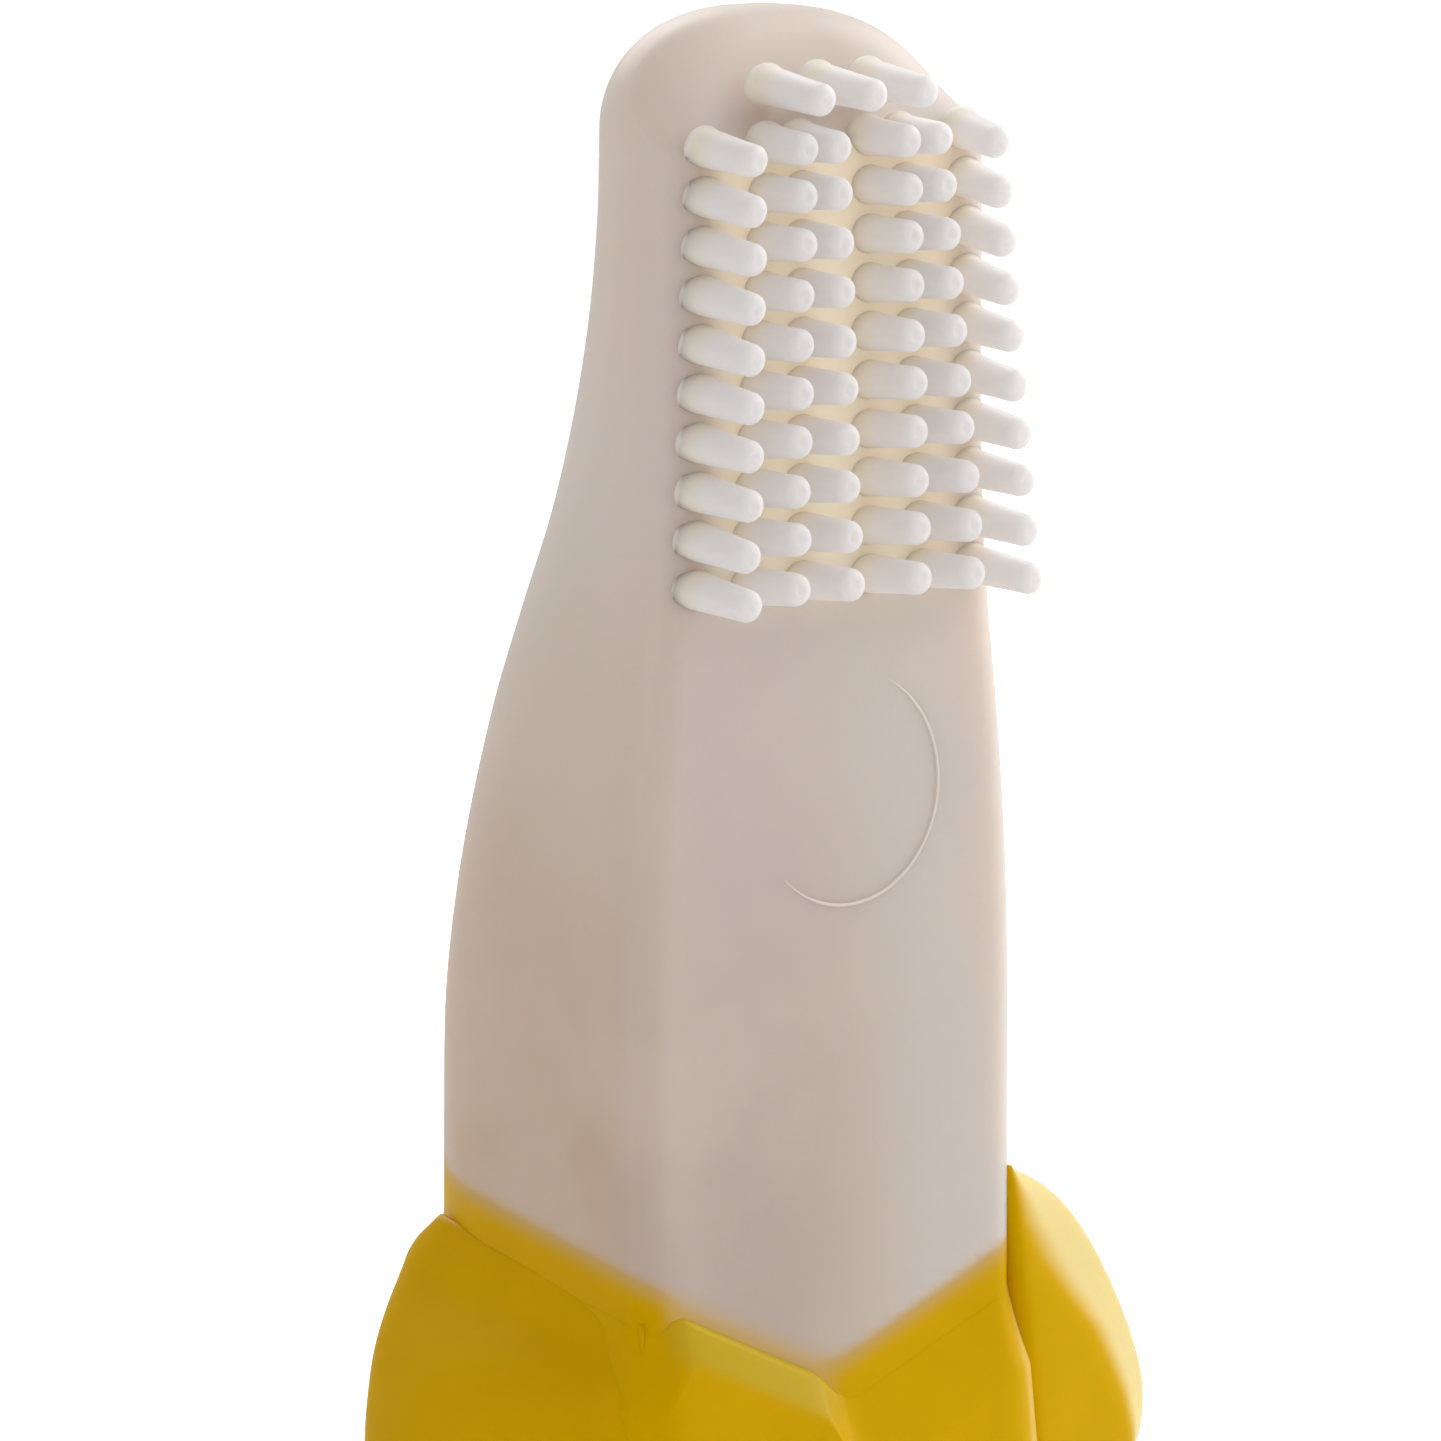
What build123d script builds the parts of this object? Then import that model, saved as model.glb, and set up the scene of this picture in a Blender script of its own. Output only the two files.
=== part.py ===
from build123d import *
import math
import os

# Finger toothbrush for a pet: a hollow silicone finger sleeve with a flat bed of stubby bristles,
# and a peel-like collar whose two side petals fold outward.
#
# Frame: origin at the centre of the finger opening, on the bottom plane. +Z runs up the finger to
# the tip, the bristle bed faces -Y, and +X is to the right when looking at the bristles.
# All sizes are in millimetres.

# ---------------------------------------------------------------- driving dimensions
TOTAL_HEIGHT = 62.0
FRONT_Y = -9.1           # plane of the flat front face
CORNER_RADIUS = 1.3      # soft edge between the front face and the sides
DOME_HEIGHT = 5.2        # rounded tip above the head
DOME_CORNER_SHARE = 0.75  # corner width at the very tip, as a share of the head's half width
SHORTEST_SIDE = 0.1      # straight part of the side that is left at the very tip
DOME_SHARES = (0.15, 0.3, 0.45, 0.6, 0.73, 0.84, 0.92, 0.97, 0.992)  # section heights up the tip

# Outer form of the sleeve, bottom to head: height, half width, depth of the straight side,
# and depth of the rounded back behind it.
SLEEVE_BANDS = 11        # bands between the straight lower part and the bristle field
SLEEVE_STATIONS = [
    (0.0, 9.4, 10.0, 8.2),
    (20.0, 9.4, 10.0, 8.2),
    (24.0, 9.4, 9.8, 8.15),
    (29.0, 9.25, 9.1, 7.85),
    (34.6, 8.8, 8.0, 7.3),
    (38.6, 8.35, 6.8, 7.0),
    (42.5, 8.1, 5.4, 6.6),
    (46.4, 8.0, 4.3, 6.3),
    (50.3, 8.0, 3.5, 6.0),
    (54.0, 8.0, 3.1, 5.8),
    (56.8, 8.0, 3.0, 5.75),
]

# Finger cavity: a straight round bore, then a narrowing fingertip pocket given as height,
# half width, front y and back y.
BORE_RADIUS = 7.5
BORE_TOP = 22.0
POCKET_STATIONS = [
    (31.0, 7.1, -7.5, 5.3),
    (38.6, 6.4, -7.4, 2.9),
    (43.0, 6.0, -7.3, 1.0),
    (46.8, 4.6, -6.6, -0.9),
    (48.8, 2.2, -5.2, -2.4),
]

# Bristle field: rows of six in mirrored column pairs that fan out towards the finger, with a wider
# gap down the middle, and a short row at the tip. Columns are given as (x in the first row, x in the
# last row); the outermost bristles are a little longer.
BRISTLE_ROOT_RADIUS = 0.76
BRISTLE_SHAFT_START = 0.35   # distance from the ball's centre at which the shaft leaves the ball
BRISTLE_TIP_RADIUS = 0.62
BRISTLE_TIP_DIMPLE = 0.16
BALL_ANGLE = math.radians(37)  # a point on the lower half of the root ball
DIMPLE_SLOPE = (0.22, 0.09)  # halfway up the dimple: share of the tip radius, depth below the tip
DIMPLE_RIM = (0.42, 0.04)    # the same at the dimple's rim
TIP_CROWN = (0.86, 0.48)     # rounded shoulder of the tip: shares of the tip radius
SOCKET_CLEARANCE = 0.05
ROW_COUNT = 10           # full rows, below the short row at the tip
COLUMNS = [(-5.7, -6.8), (-3.3, -4.3), (-1.7, -1.65), (1.7, 1.65), (3.3, 4.3), (5.7, 6.8)]
OUTER_COLUMN_EXTRA = 0.3
TOP_ROW_COLUMNS = (-2.5, 0.0, 2.5)
TOP_ROW_Z = 59.0
FIRST_ROW_Z = 56.9
LAST_ROW_Z = 40.0
TOP_ROW_LENGTH = 2.7
FIRST_ROW_LENGTH = 2.5
LAST_ROW_LENGTH = 3.25
SPLAY_PER_MM = 0.4       # outward lean, in degrees for each mm from the middle of the row
TOP_ROW_SETBACK = 0.17   # the top row is rooted a little further back, on the curving tip

# Witness ring moulded in the front face.
WITNESS_RADIUS = 4.55
WITNESS_Z = 31.0
WITNESS_X = 0.6
WITNESS_DEPTH = 0.06
WITNESS_WIDTH = 0.16

# Peel collar.
COLLAR_STATIONS = [(0.0, 1.5), (1.6, 1.5), (5.0, 1.25), (9.5, 0.85), (13.0, 0.5), (17.0, 0.25)]
NOTCH_BOTTOM_Z = 9.2
CORNER_EDGE_Z = 13.0
BACK_EDGE_Z = 16.8
BACK_EDGE_Y = 9.1
NOTCH_REACH_Y = -7.6     # the V notch belongs to the front face only
CUTTER_REACH = 30.0      # cutting solids run this far past the body

# Side petals: thick soft lobes that hang from a knuckle at the collar's shoulder, seen from the front
# as (x, z) points of the right-hand petal. The outer line bulges outward, the inner line follows
# the collar and then arches away to a curled tip.
KNUCKLE_X = 10.4
KNUCKLE_Z = 14.2
KNUCKLE_RADIUS = 0.8
KNUCKLE_CLEARANCE = 0.05
KNUCKLE_BACK_Y = 0.8
KNUCKLE_END_GAP = 0.4    # the knuckle is this much shorter than the space it lies in
GROOVE_EXTRA_LENGTH = 1.0
PETAL_OUTER_LINE = [(10.95, 14.85), (14.5, 12.4), (16.3, 9.6), (17.3, 6.3), (17.0, 3.1), (15.7, 1.3)]
PETAL_INNER_LINE = [(15.7, 1.3), (13.7, 2.5), (11.9, 4.9), (11.1, 7.4)]
PETAL_TOP_INNER = (10.35, 13.4)
PETAL_FRONT_Y = -8.9
PETAL_BACK_Y = 5.4
PETAL_TIP_Y = -2.4
PETAL_TIP_HALF_WIDTH = 3.6
PETAL_TIP_ROUNDING = 2.6
PETAL_SHOULDER_Z = 6.5
PLAN_CENTRE = (5.5, -6.0)
# Plan outline of a petal, round about that centre: (radius, z) from the foot to the shoulder.
PLAN_LINE = [(12.2, 0.0), (12.2, 3.0), (12.15, 6.0), (11.85, 9.0), (11.1, 12.0), (9.9, 15.0), (9.0, 18.0)]
# Slanting face between a petal's front and its outer rim: a point on it, and its direction.
RIM_SLANT_POINT = (13.1, -8.9, 9.0)
RIM_SLANT_NORMAL = (0.43, -0.857, 0.286)


# ---------------------------------------------------------------- helpers
def body_section(z, half_width, side_depth, back_depth, front_y, corner_x, corner_y):
    """Flat front, two rounded front corners, straight sides and a half-elliptical back."""
    side_y = front_y + side_depth
    corner_in = half_width - corner_x
    front = Line((-corner_in, front_y), (corner_in, front_y))
    right_corner = EllipticalCenterArc(
        (corner_in, front_y + corner_y), corner_x, corner_y, start_angle=270, arc_size=90
    )
    right_side = Line((half_width, front_y + corner_y), (half_width, side_y))
    back = EllipticalCenterArc((0, side_y), half_width, back_depth, start_angle=0, arc_size=180)
    left_side = Line((-half_width, side_y), (-half_width, front_y + corner_y))
    left_corner = EllipticalCenterArc(
        (-corner_in, front_y + corner_y), corner_x, corner_y, start_angle=180, arc_size=90
    )
    outline = Wire([front, right_corner, right_side, back, left_side, left_corner])
    return Pos(0, 0, z) * Face(outline)


def oval_section(z, half_width, front_y, back_y):
    """Elliptical section of the finger cavity."""
    centre_y = (front_y + back_y) / 2
    half_depth = (back_y - front_y) / 2
    if abs(half_width - half_depth) < 1e-6:
        return Pos(0, centre_y, z) * Circle(half_width).face()
    return Pos(0, centre_y, z) * Ellipse(half_width, half_depth).face()


def smooth_between(stations, z):
    """Station values at height z, on a smooth curve through the stations (Catmull-Rom)."""
    last = len(stations) - 1
    index = max(i for i in range(last) if stations[i][0] <= z)
    before = stations[max(index - 1, 0)]
    start, end = stations[index], stations[index + 1]
    after = stations[min(index + 2, last)]
    step = end[0] - start[0]
    t = (z - start[0]) / step
    values = []
    for low, a, b, high in zip(before[1:], start[1:], end[1:], after[1:]):
        slope_a = (b - low) / (end[0] - before[0]) * step if before is not start else 0.0
        slope_b = (high - a) / (after[0] - start[0]) * step if after is not end else 0.0
        value = (
            (2 * t ** 3 - 3 * t ** 2 + 1) * a
            + (t ** 3 - 2 * t ** 2 + t) * slope_a
            + (3 * t ** 2 - 2 * t ** 3) * b
            + (t ** 3 - t ** 2) * slope_b
        )
        values.append(value)
    return values


def section_at(z):
    """Sleeve section at any height. Above the head it shrinks and its corners grow round."""
    head_z = SLEEVE_STATIONS[-1][0]
    width, side, back = smooth_between(SLEEVE_STATIONS, min(z, head_z - 1e-6))
    if z <= head_z:
        return body_section(z, width, side, back, FRONT_Y, CORNER_RADIUS, CORNER_RADIUS)
    drop = (TOTAL_HEIGHT - z) / DOME_HEIGHT
    shrink = (1 - (1 - drop) ** 2) ** 0.5
    roundness = 1 - drop
    middle_y = FRONT_Y + (side + back) / 2
    front_y = middle_y + (FRONT_Y - middle_y) * shrink
    corner_y = CORNER_RADIUS + (side - SHORTEST_SIDE - CORNER_RADIUS) * roundness
    corner_x = CORNER_RADIUS + (DOME_CORNER_SHARE * width - CORNER_RADIUS) * roundness
    return body_section(
        z, width * shrink, side * shrink, back * shrink, front_y, corner_x * shrink, corner_y * shrink
    )


def sleeve_outer():
    """Solid outer form of the finger sleeve: straight foot, curved body, rounded tip.

    The body is lofted in bands. From the lowest bristle row up, a band holds one row, so that no
    bristle root crosses a band's edge.
    """
    straight_top = SLEEVE_STATIONS[1][0]
    pitch = (FIRST_ROW_Z - LAST_ROW_Z) / (ROW_COUNT - 1)
    field_z = LAST_ROW_Z - pitch / 2
    heights = [0.0]
    heights += [
        straight_top + (field_z - straight_top) * index / SLEEVE_BANDS for index in range(SLEEVE_BANDS)
    ]
    heights += [field_z + pitch * index for index in range(ROW_COUNT + 1)]
    body = loft([section_at(z) for z in heights], ruled=True)

    dome_base = heights[-1]
    dome_heights = [dome_base]
    dome_heights += [dome_base + (TOTAL_HEIGHT - dome_base) * share for share in DOME_SHARES]
    return body + loft([section_at(z) for z in dome_heights])


def finger_cavity():
    """Bore and fingertip pocket as one cutting solid."""
    below = 1.0
    bore = Pos(0, 0, -below) * Cylinder(
        BORE_RADIUS, BORE_TOP + below, align=(Align.CENTER, Align.CENTER, Align.MIN)
    )
    sections = [oval_section(BORE_TOP, BORE_RADIUS, -BORE_RADIUS, BORE_RADIUS)]
    sections += [oval_section(*station) for station in POCKET_STATIONS]
    return bore + loft(sections)


def row_layout():
    """Rows from the tip down; a row is a list of bristles, each a root position and a length."""
    top_y = FRONT_Y + TOP_ROW_SETBACK
    rows = [[((x, top_y, TOP_ROW_Z), TOP_ROW_LENGTH) for x in TOP_ROW_COLUMNS]]
    for index in range(ROW_COUNT):
        along = index / (ROW_COUNT - 1)
        z = FIRST_ROW_Z + (LAST_ROW_Z - FIRST_ROW_Z) * along
        length = FIRST_ROW_LENGTH + (LAST_ROW_LENGTH - FIRST_ROW_LENGTH) * along
        row = []
        for first_x, last_x in COLUMNS:
            outermost = abs(first_x) == max(abs(x) for x, _ in COLUMNS)
            extra = OUTER_COLUMN_EXTRA if outermost else 0.0
            row.append(((first_x + (last_x - first_x) * along, FRONT_Y, z), length + extra))
        rows.append(row)
    return rows


def bristle(length):
    """One bristle standing on +Z: ball root at the origin, tapered shaft, rounded dimpled tip."""
    ball = BRISTLE_ROOT_RADIUS
    tip = BRISTLE_TIP_RADIUS
    shaft_root = ((ball ** 2 - BRISTLE_SHAFT_START ** 2) ** 0.5, BRISTLE_SHAFT_START)
    shaft_top = (tip, length - tip)
    dimple = (0, length - BRISTLE_TIP_DIMPLE)
    slope = (tip * DIMPLE_SLOPE[0], length - DIMPLE_SLOPE[1])
    rim = (tip * DIMPLE_RIM[0], length - DIMPLE_RIM[1])
    crown = (tip * TIP_CROWN[0], length - tip * TIP_CROWN[1])
    ball_side = (ball * math.cos(BALL_ANGLE), -ball * math.sin(BALL_ANGLE))
    profile = Wire(
        [
            Line((0, -ball), dimple),
            ThreePointArc(dimple, slope, rim),
            ThreePointArc(rim, crown, shaft_top),
            Line(shaft_top, shaft_root),
            ThreePointArc(shaft_root, ball_side, (0, -ball)),
        ]
    )
    return revolve(Plane.XZ * Face(profile), Axis.Z, 360)


def bristle_row(row):
    """All bristles of one row, pointing to -Y and splayed a little away from the middle."""
    solids = []
    for place, length in row:
        splay = Rotation(0, 0, SPLAY_PER_MM * place[0])
        solids.append(Pos(*place) * splay * Rotation(90, 0, 0) * bristle(length))
    return Compound(children=solids)


def socket_cutters(row):
    """Ball sockets that the bristle roots of one row sit in, with their poles along Y."""
    radius = BRISTLE_ROOT_RADIUS + SOCKET_CLEARANCE
    return [Pos(*place) * Rotation(90, 0, 0) * Sphere(radius) for place, _ in row]


def witness_groove():
    """Faint circular mould line in the front face."""
    outer = Circle(WITNESS_RADIUS + WITNESS_WIDTH / 2)
    ring = outer - Circle(WITNESS_RADIUS - WITNESS_WIDTH / 2)
    outside = 1.0
    place = Plane(origin=(WITNESS_X, FRONT_Y - outside, WITNESS_Z), x_dir=(1, 0, 0), z_dir=(0, 1, 0))
    return extrude(place * ring, outside + WITNESS_DEPTH)


def collar_blank():
    """Outer form of the collar, flaring towards the foot."""
    _, width, side, back = SLEEVE_STATIONS[0]
    sections = []
    for z, proud in COLLAR_STATIONS:
        corner = CORNER_RADIUS + proud
        sections.append(
            body_section(z, width + proud, side + proud, back + proud, FRONT_Y - proud, corner, corner)
        )
    return loft(sections, ruled=True)


def collar_edge_cutters():
    """Everything above the collar's top edge: a V notch in front, a rising edge round the back."""
    reach = CUTTER_REACH
    slope = (CORNER_EDGE_Z - NOTCH_BOTTOM_Z) / SLEEVE_STATIONS[0][1]
    notch = Polyline(
        (0, NOTCH_BOTTOM_Z),
        (reach, NOTCH_BOTTOM_Z + slope * reach),
        (reach, TOTAL_HEIGHT),
        (-reach, TOTAL_HEIGHT),
        (-reach, NOTCH_BOTTOM_Z + slope * reach),
        close=True,
    )
    front_plane = Plane(origin=(0, -reach, 0), x_dir=(1, 0, 0), z_dir=(0, -1, 0))
    front = extrude(front_plane * make_face(notch), -(reach + NOTCH_REACH_Y))
    rise = (BACK_EDGE_Z - CORNER_EDGE_Z) / (BACK_EDGE_Y - FRONT_Y)
    edge = Polyline(
        (-reach, CORNER_EDGE_Z + rise * (-reach - FRONT_Y)),
        (reach, CORNER_EDGE_Z + rise * (reach - FRONT_Y)),
        (reach, TOTAL_HEIGHT),
        (-reach, TOTAL_HEIGHT),
        close=True,
    )
    side_plane = Plane(origin=(0, 0, 0), x_dir=(0, 1, 0), z_dir=(1, 0, 0))
    above = extrude(side_plane * make_face(edge), reach, both=True)
    return [front, above]


def knuckle(radius, extra_length):
    """Root cylinder of the right petal, lying along Y."""
    middle_y = (PETAL_FRONT_Y + KNUCKLE_BACK_Y) / 2
    length = KNUCKLE_BACK_Y - PETAL_FRONT_Y - KNUCKLE_END_GAP + extra_length
    return Pos(KNUCKLE_X, middle_y, KNUCKLE_Z) * Rotation(90, 0, 0) * Cylinder(radius, length)


def petal():
    """Right petal: knuckle root, thick bulging lobe and a curled free tip."""
    outline = Wire(
        [
            Spline(*PETAL_OUTER_LINE),
            Spline(*PETAL_INNER_LINE),
            Line(PETAL_INNER_LINE[-1], PETAL_TOP_INNER),
            Line(PETAL_TOP_INNER, (KNUCKLE_X, KNUCKLE_Z)),
            Line((KNUCKLE_X, KNUCKLE_Z), PETAL_OUTER_LINE[0]),
        ]
    )
    side_view = Plane(origin=(0, PETAL_BACK_Y, 0), x_dir=(1, 0, 0), z_dir=(0, -1, 0))
    lobe = extrude(side_view * Face(outline), PETAL_BACK_Y - PETAL_FRONT_Y, dir=(0, -1, 0))

    leaf = Polyline(
        (PETAL_FRONT_Y, TOTAL_HEIGHT),
        (PETAL_FRONT_Y, PETAL_SHOULDER_Z),
        (PETAL_TIP_Y - PETAL_TIP_HALF_WIDTH, 0),
        (PETAL_TIP_Y + PETAL_TIP_HALF_WIDTH, 0),
        (PETAL_BACK_Y, PETAL_SHOULDER_Z),
        (PETAL_BACK_Y, TOTAL_HEIGHT),
        close=True,
    )
    leaf_face = fillet(make_face(leaf).vertices().group_by(Axis.Y)[0], PETAL_TIP_ROUNDING)
    leaf_plane = Plane(origin=(0, 0, 0), x_dir=(0, 1, 0), z_dir=(1, 0, 0))
    lobe = lobe & extrude(leaf_plane * leaf_face, CUTTER_REACH, dir=(1, 0, 0))

    lowest, highest = PLAN_LINE[0][1], PLAN_LINE[-1][1]
    plan_profile = Wire(
        [
            Spline(*PLAN_LINE),
            Line(PLAN_LINE[-1], (0, highest)),
            Line((0, highest), (0, lowest)),
            Line((0, lowest), PLAN_LINE[0]),
        ]
    )
    plan = Pos(*PLAN_CENTRE, 0) * revolve(Plane.XZ * Face(plan_profile), Axis.Z, 360)
    slant = Plane(origin=RIM_SLANT_POINT, z_dir=RIM_SLANT_NORMAL)
    lobe = split(lobe & plan, bisect_by=slant, keep=Keep.BOTTOM)
    return lobe + knuckle(KNUCKLE_RADIUS, 0)


# ---------------------------------------------------------------- parts
os.makedirs("parts", exist_ok=True)

rows = row_layout()
outer = sleeve_outer()

sleeve = outer - finger_cavity()
for row in rows:
    sleeve = sleeve - socket_cutters(row)
sleeve = sleeve - witness_groove()
export_step(sleeve, "parts/finger_sleeve.step")

for number, row in enumerate(rows, start=1):
    export_step(bristle_row(row), f"parts/bristle_row_{number:02d}.step")

groove = knuckle(KNUCKLE_RADIUS + KNUCKLE_CLEARANCE, GROOVE_EXTRA_LENGTH)
collar = collar_blank() - outer - collar_edge_cutters()
collar = collar - [groove, mirror(groove, about=Plane.YZ)]
export_step(collar, "parts/peel_collar.step")

right_petal = petal()
export_step(right_petal, "parts/right_petal.step")
export_step(mirror(right_petal, about=Plane.YZ), "parts/left_petal.step")
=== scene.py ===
"""Finger toothbrush: soft silicone sleeve with a bristle bed, and a yellow peel collar with two petals.

Shapes are worked out in millimetres in the CAD frame (+Z to the tip, bristles face -Y) and built in metres.
"""

import math
import random

import bpy
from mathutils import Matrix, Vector


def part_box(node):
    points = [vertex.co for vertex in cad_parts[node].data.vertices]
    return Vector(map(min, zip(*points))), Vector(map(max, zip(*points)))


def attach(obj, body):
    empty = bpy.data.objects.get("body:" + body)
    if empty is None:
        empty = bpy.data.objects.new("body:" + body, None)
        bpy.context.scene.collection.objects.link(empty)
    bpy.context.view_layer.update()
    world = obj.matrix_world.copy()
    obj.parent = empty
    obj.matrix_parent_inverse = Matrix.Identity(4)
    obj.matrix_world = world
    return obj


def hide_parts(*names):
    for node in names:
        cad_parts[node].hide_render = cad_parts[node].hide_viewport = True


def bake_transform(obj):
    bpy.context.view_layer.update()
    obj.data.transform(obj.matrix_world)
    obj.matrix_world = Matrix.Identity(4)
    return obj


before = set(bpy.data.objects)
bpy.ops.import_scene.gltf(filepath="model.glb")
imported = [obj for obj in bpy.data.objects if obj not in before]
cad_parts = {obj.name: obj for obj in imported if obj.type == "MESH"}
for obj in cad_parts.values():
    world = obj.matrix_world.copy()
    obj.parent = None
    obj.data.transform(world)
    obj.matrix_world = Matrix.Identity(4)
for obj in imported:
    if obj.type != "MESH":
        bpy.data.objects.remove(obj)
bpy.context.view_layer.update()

MM = 0.001

# ------------------------------------------------------------------ sizes (mm), shared with the CAD frame
SLEEVE_LOW, SLEEVE_HIGH = [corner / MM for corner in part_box("finger_sleeve")]
FRONT_Y = SLEEVE_LOW.y
TIP_Z = SLEEVE_HIGH.z
DOME_HEIGHT = 5.2
DOME_FULLNESS = 0.82      # below 1 the tip is fuller than an ellipse
DOME_SETBACK = 1.0        # how far the top of the tip leans back from the bristles
DOME_FRONT_SLOPE = 1.35   # how much flatter the tip slopes on the bristle side
DOME_SLOPE_SIDE = 0.7     # share of that slope taken from the straight side, the rest from the round back
DOME_CORNER_SHARE = 0.75  # how much of the half width the front corners take up at the top
HEAD_Z = TIP_Z - DOME_HEIGHT
CORNER_RADIUS = 1.3
FRONT_DEPTH = 0.8         # points less than this behind the front plane count as front
MOUTH_ROUNDING = 0.5      # rounded edge of the finger opening

# Outer form of the sleeve: height, half width, depth of the straight side, depth of the round back.
SLEEVE_STATIONS = [
    (0.0, 9.4, 10.0, 8.2),
    (20.0, 9.4, 10.0, 8.2),
    (24.0, 9.4, 9.8, 8.15),
    (29.0, 9.25, 9.1, 7.85),
    (34.6, 8.8, 8.0, 7.3),
    (38.6, 8.35, 6.8, 7.0),
    (42.5, 8.1, 5.4, 6.6),
    (46.4, 8.0, 4.3, 6.3),
    (50.3, 8.0, 3.5, 6.0),
    (54.0, 8.0, 3.1, 5.8),
    (HEAD_Z, 8.0, 3.0, 5.75),
]

HALF_WIDTH = SLEEVE_STATIONS[0][1]  # of the straight part round the finger

# Finger cavity: height, half width, front y, back y; a straight bore below BORE_TOP_Z.
BORE_RADIUS = 7.5
BORE_TOP_Z = 22.0
CAVITY_END_DEPTH = 0.9   # how far the cavity's rounded end reaches above its last station
CAVITY_STATIONS = [
    (0.0, 7.5, -7.5, 7.5),
    (BORE_TOP_Z, 7.5, -7.5, 7.5),
    (31.0, 7.1, -7.5, 5.3),
    (38.6, 6.4, -7.4, 2.9),
    (43.0, 6.0, -7.3, 1.0),
    (46.8, 4.6, -6.6, -0.9),
    (48.8, 2.2, -5.2, -2.4),
]

# Collar: height against how far it stands proud of the sleeve.
COLLAR_PROUD = [(0.0, 1.5), (1.6, 1.5), (5.0, 1.25), (9.5, 0.85), (13.0, 0.5), (17.0, 0.25)]
NOTCH_BOTTOM_Z = 9.1
NOTCH_ROUNDING = 0.7     # how far from the middle the bottom of the V is rounded
CORNER_EDGE_Z = 13.0
BACK_EDGE_Z = 16.7
BACK_Y = 9.1

# Round mould line on the front face.
WITNESS_CENTRE = (0.6, 32.0)
WITNESS_RADIUS = 4.55
WITNESS_HALF_WIDTH = 0.075
WITNESS_HEIGHT = 0.045   # how far the line stands out of the face
WITNESS_SINK = 0.075     # how deep it lies where it fades away
WITNESS_FADE_ANGLE = 35.0

# Collar: how its edge is made.
EDGE_OVERLAP = 1.0       # the yellow shows this far above the collar's own edge, inside the milky sleeve
SOFT_EDGE_REACH = 3.4    # height over which the collar's soft edge thickens to the full wall
CRISP_EDGE_REACH = 1.7   # the same along the crisp left half of the V
CRISP_STEP = 0.30        # step at the crisp edge
COLLAR_SINK = 0.25       # how far the collar's hidden rims lie inside the sleeve's surface
FOOT_ROUNDING = 0.7

# Right petal: height, outermost x, radius of its round plan outline, front y, back y and inner x.
PETAL_STATIONS = [
    (16.3, 9.55, 8.6, -8.9, 2.6, 9.0),
    (15.9, 10.5, 9.0, -8.9, 3.4, 9.0),
    (15.2, 11.9, 9.55, -8.9, 3.9, 9.0),
    (14.4, 13.0, 10.1, -8.9, 4.3, 9.1),
    (13.4, 13.95, 10.6, -8.9, 4.7, 9.3),
    (12.2, 14.85, 11.05, -8.9, 5.0, 9.5),
    (10.0, 16.1, 11.65, -8.9, 5.3, 9.9),
    (8.0, 16.95, 12.05, -8.9, 5.3, 10.4),
    (6.3, 17.3, 12.15, -8.9, 5.1, 11.1),
    (4.6, 17.25, 12.2, -8.6, 4.2, 12.0),
    (3.1, 16.85, 12.2, -7.8, 2.4, 13.3),
    (2.0, 16.3, 12.2, -6.4, 0.8, 14.5),
    (1.35, 15.75, 12.2, -4.4, -0.8, 15.2),
]
PETAL_CENTRE = (5.5, -6.0)
PETAL_POINTS = 120       # points round a petal section

# Height and x of the outer end of the right petal's front facet.
RIGHT_FACET = [
    (1.3, 15.2), (4.6, 15.75), (7.0, 14.7), (9.35, 13.4),
    (11.1, 11.75), (12.45, 10.6), (14.0, 9.7), (16.3, 9.3),
]

# Left petal: height, x and y of the widest point, x of the point that pulls the flank out, inner x.
LEFT_STATIONS = [
    (16.3, 9.36, 3.3, 9.36, 9.0),
    (15.9, 9.62, 3.4, 9.6, 9.0),
    (15.0, 10.15, 3.6, 10.2, 9.0),
    (13.95, 10.6, 3.7, 10.8, 9.1),
    (12.0, 11.7, 3.6, 12.3, 9.4),
    (10.0, 12.65, 3.3, 13.6, 9.8),
    (8.0, 13.4, 2.8, 14.7, 10.3),
    (6.3, 14.0, 2.2, 15.5, 11.0),
    (4.6, 14.6, 1.2, 16.6, 12.0),
    (3.1, 14.9, 0.1, 16.9, 13.1),
    (2.0, 14.8, -0.8, 16.5, 14.0),
    (1.35, 14.5, -1.6, 15.6, 14.3),
]
LEFT_PULL_Y = -3.5
LEFT_TAIL = 1.9                 # depth of the left petal's rounded back end
RIM_DEPTH = 1.4                 # how far back the slanting rim reaches from the front facet
PALE_RIM_Y = (-7.0, -4.2)       # the rim's painted pale light shows in front of the first y and gives way to yellow behind the second
PETAL_DROP_REACH = 9.0          # height over which the tilt of the left petal's top edge fades out
PETAL_RINGS = 71

# Bristles: x of each column's roots, in the first and in the last row of six.
BRISTLE_COLUMNS = [(-6.35, -6.85), (-3.3, -4.3), (-1.7, -1.65), (1.7, 1.65), (3.3, 4.3), (6.35, 6.85)]
TOP_ROW_COLUMNS = (-2.5, 0.0, 2.5)
FULL_ROWS = 10
BRISTLE_TIP_RADIUS = 0.64
BRISTLE_ROOT_RADIUS = 0.76
BRISTLE_TIP_DEPTH = 0.36    # length of the rounded end
BRISTLE_WIDENING = 0.20     # how much broader than tall a bristle is at its root
BRISTLE_POINTS = 22         # points round a bristle
TOP_ROW_LENGTH = 2.55
TOP_ROW_SETBACK = 1.0       # the top row is rooted further back, in the curving tip
ROOT_RAISE = 0.25           # how far the roots stand above the middle of the CAD rows
OUTER_COLUMN_EXTRA = 0.3    # how much longer the outer bristles are
SPLAY_PER_MM = 0.4          # degrees by which a bristle turns outwards for each mm from the middle
OUTER_FROM = 5.2            # bristles rooted further out than this are the outer ones
OUTER_TIPS = (5.95, 7.0)    # where the outer bristles' tips stand, in the first and the last row
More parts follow.
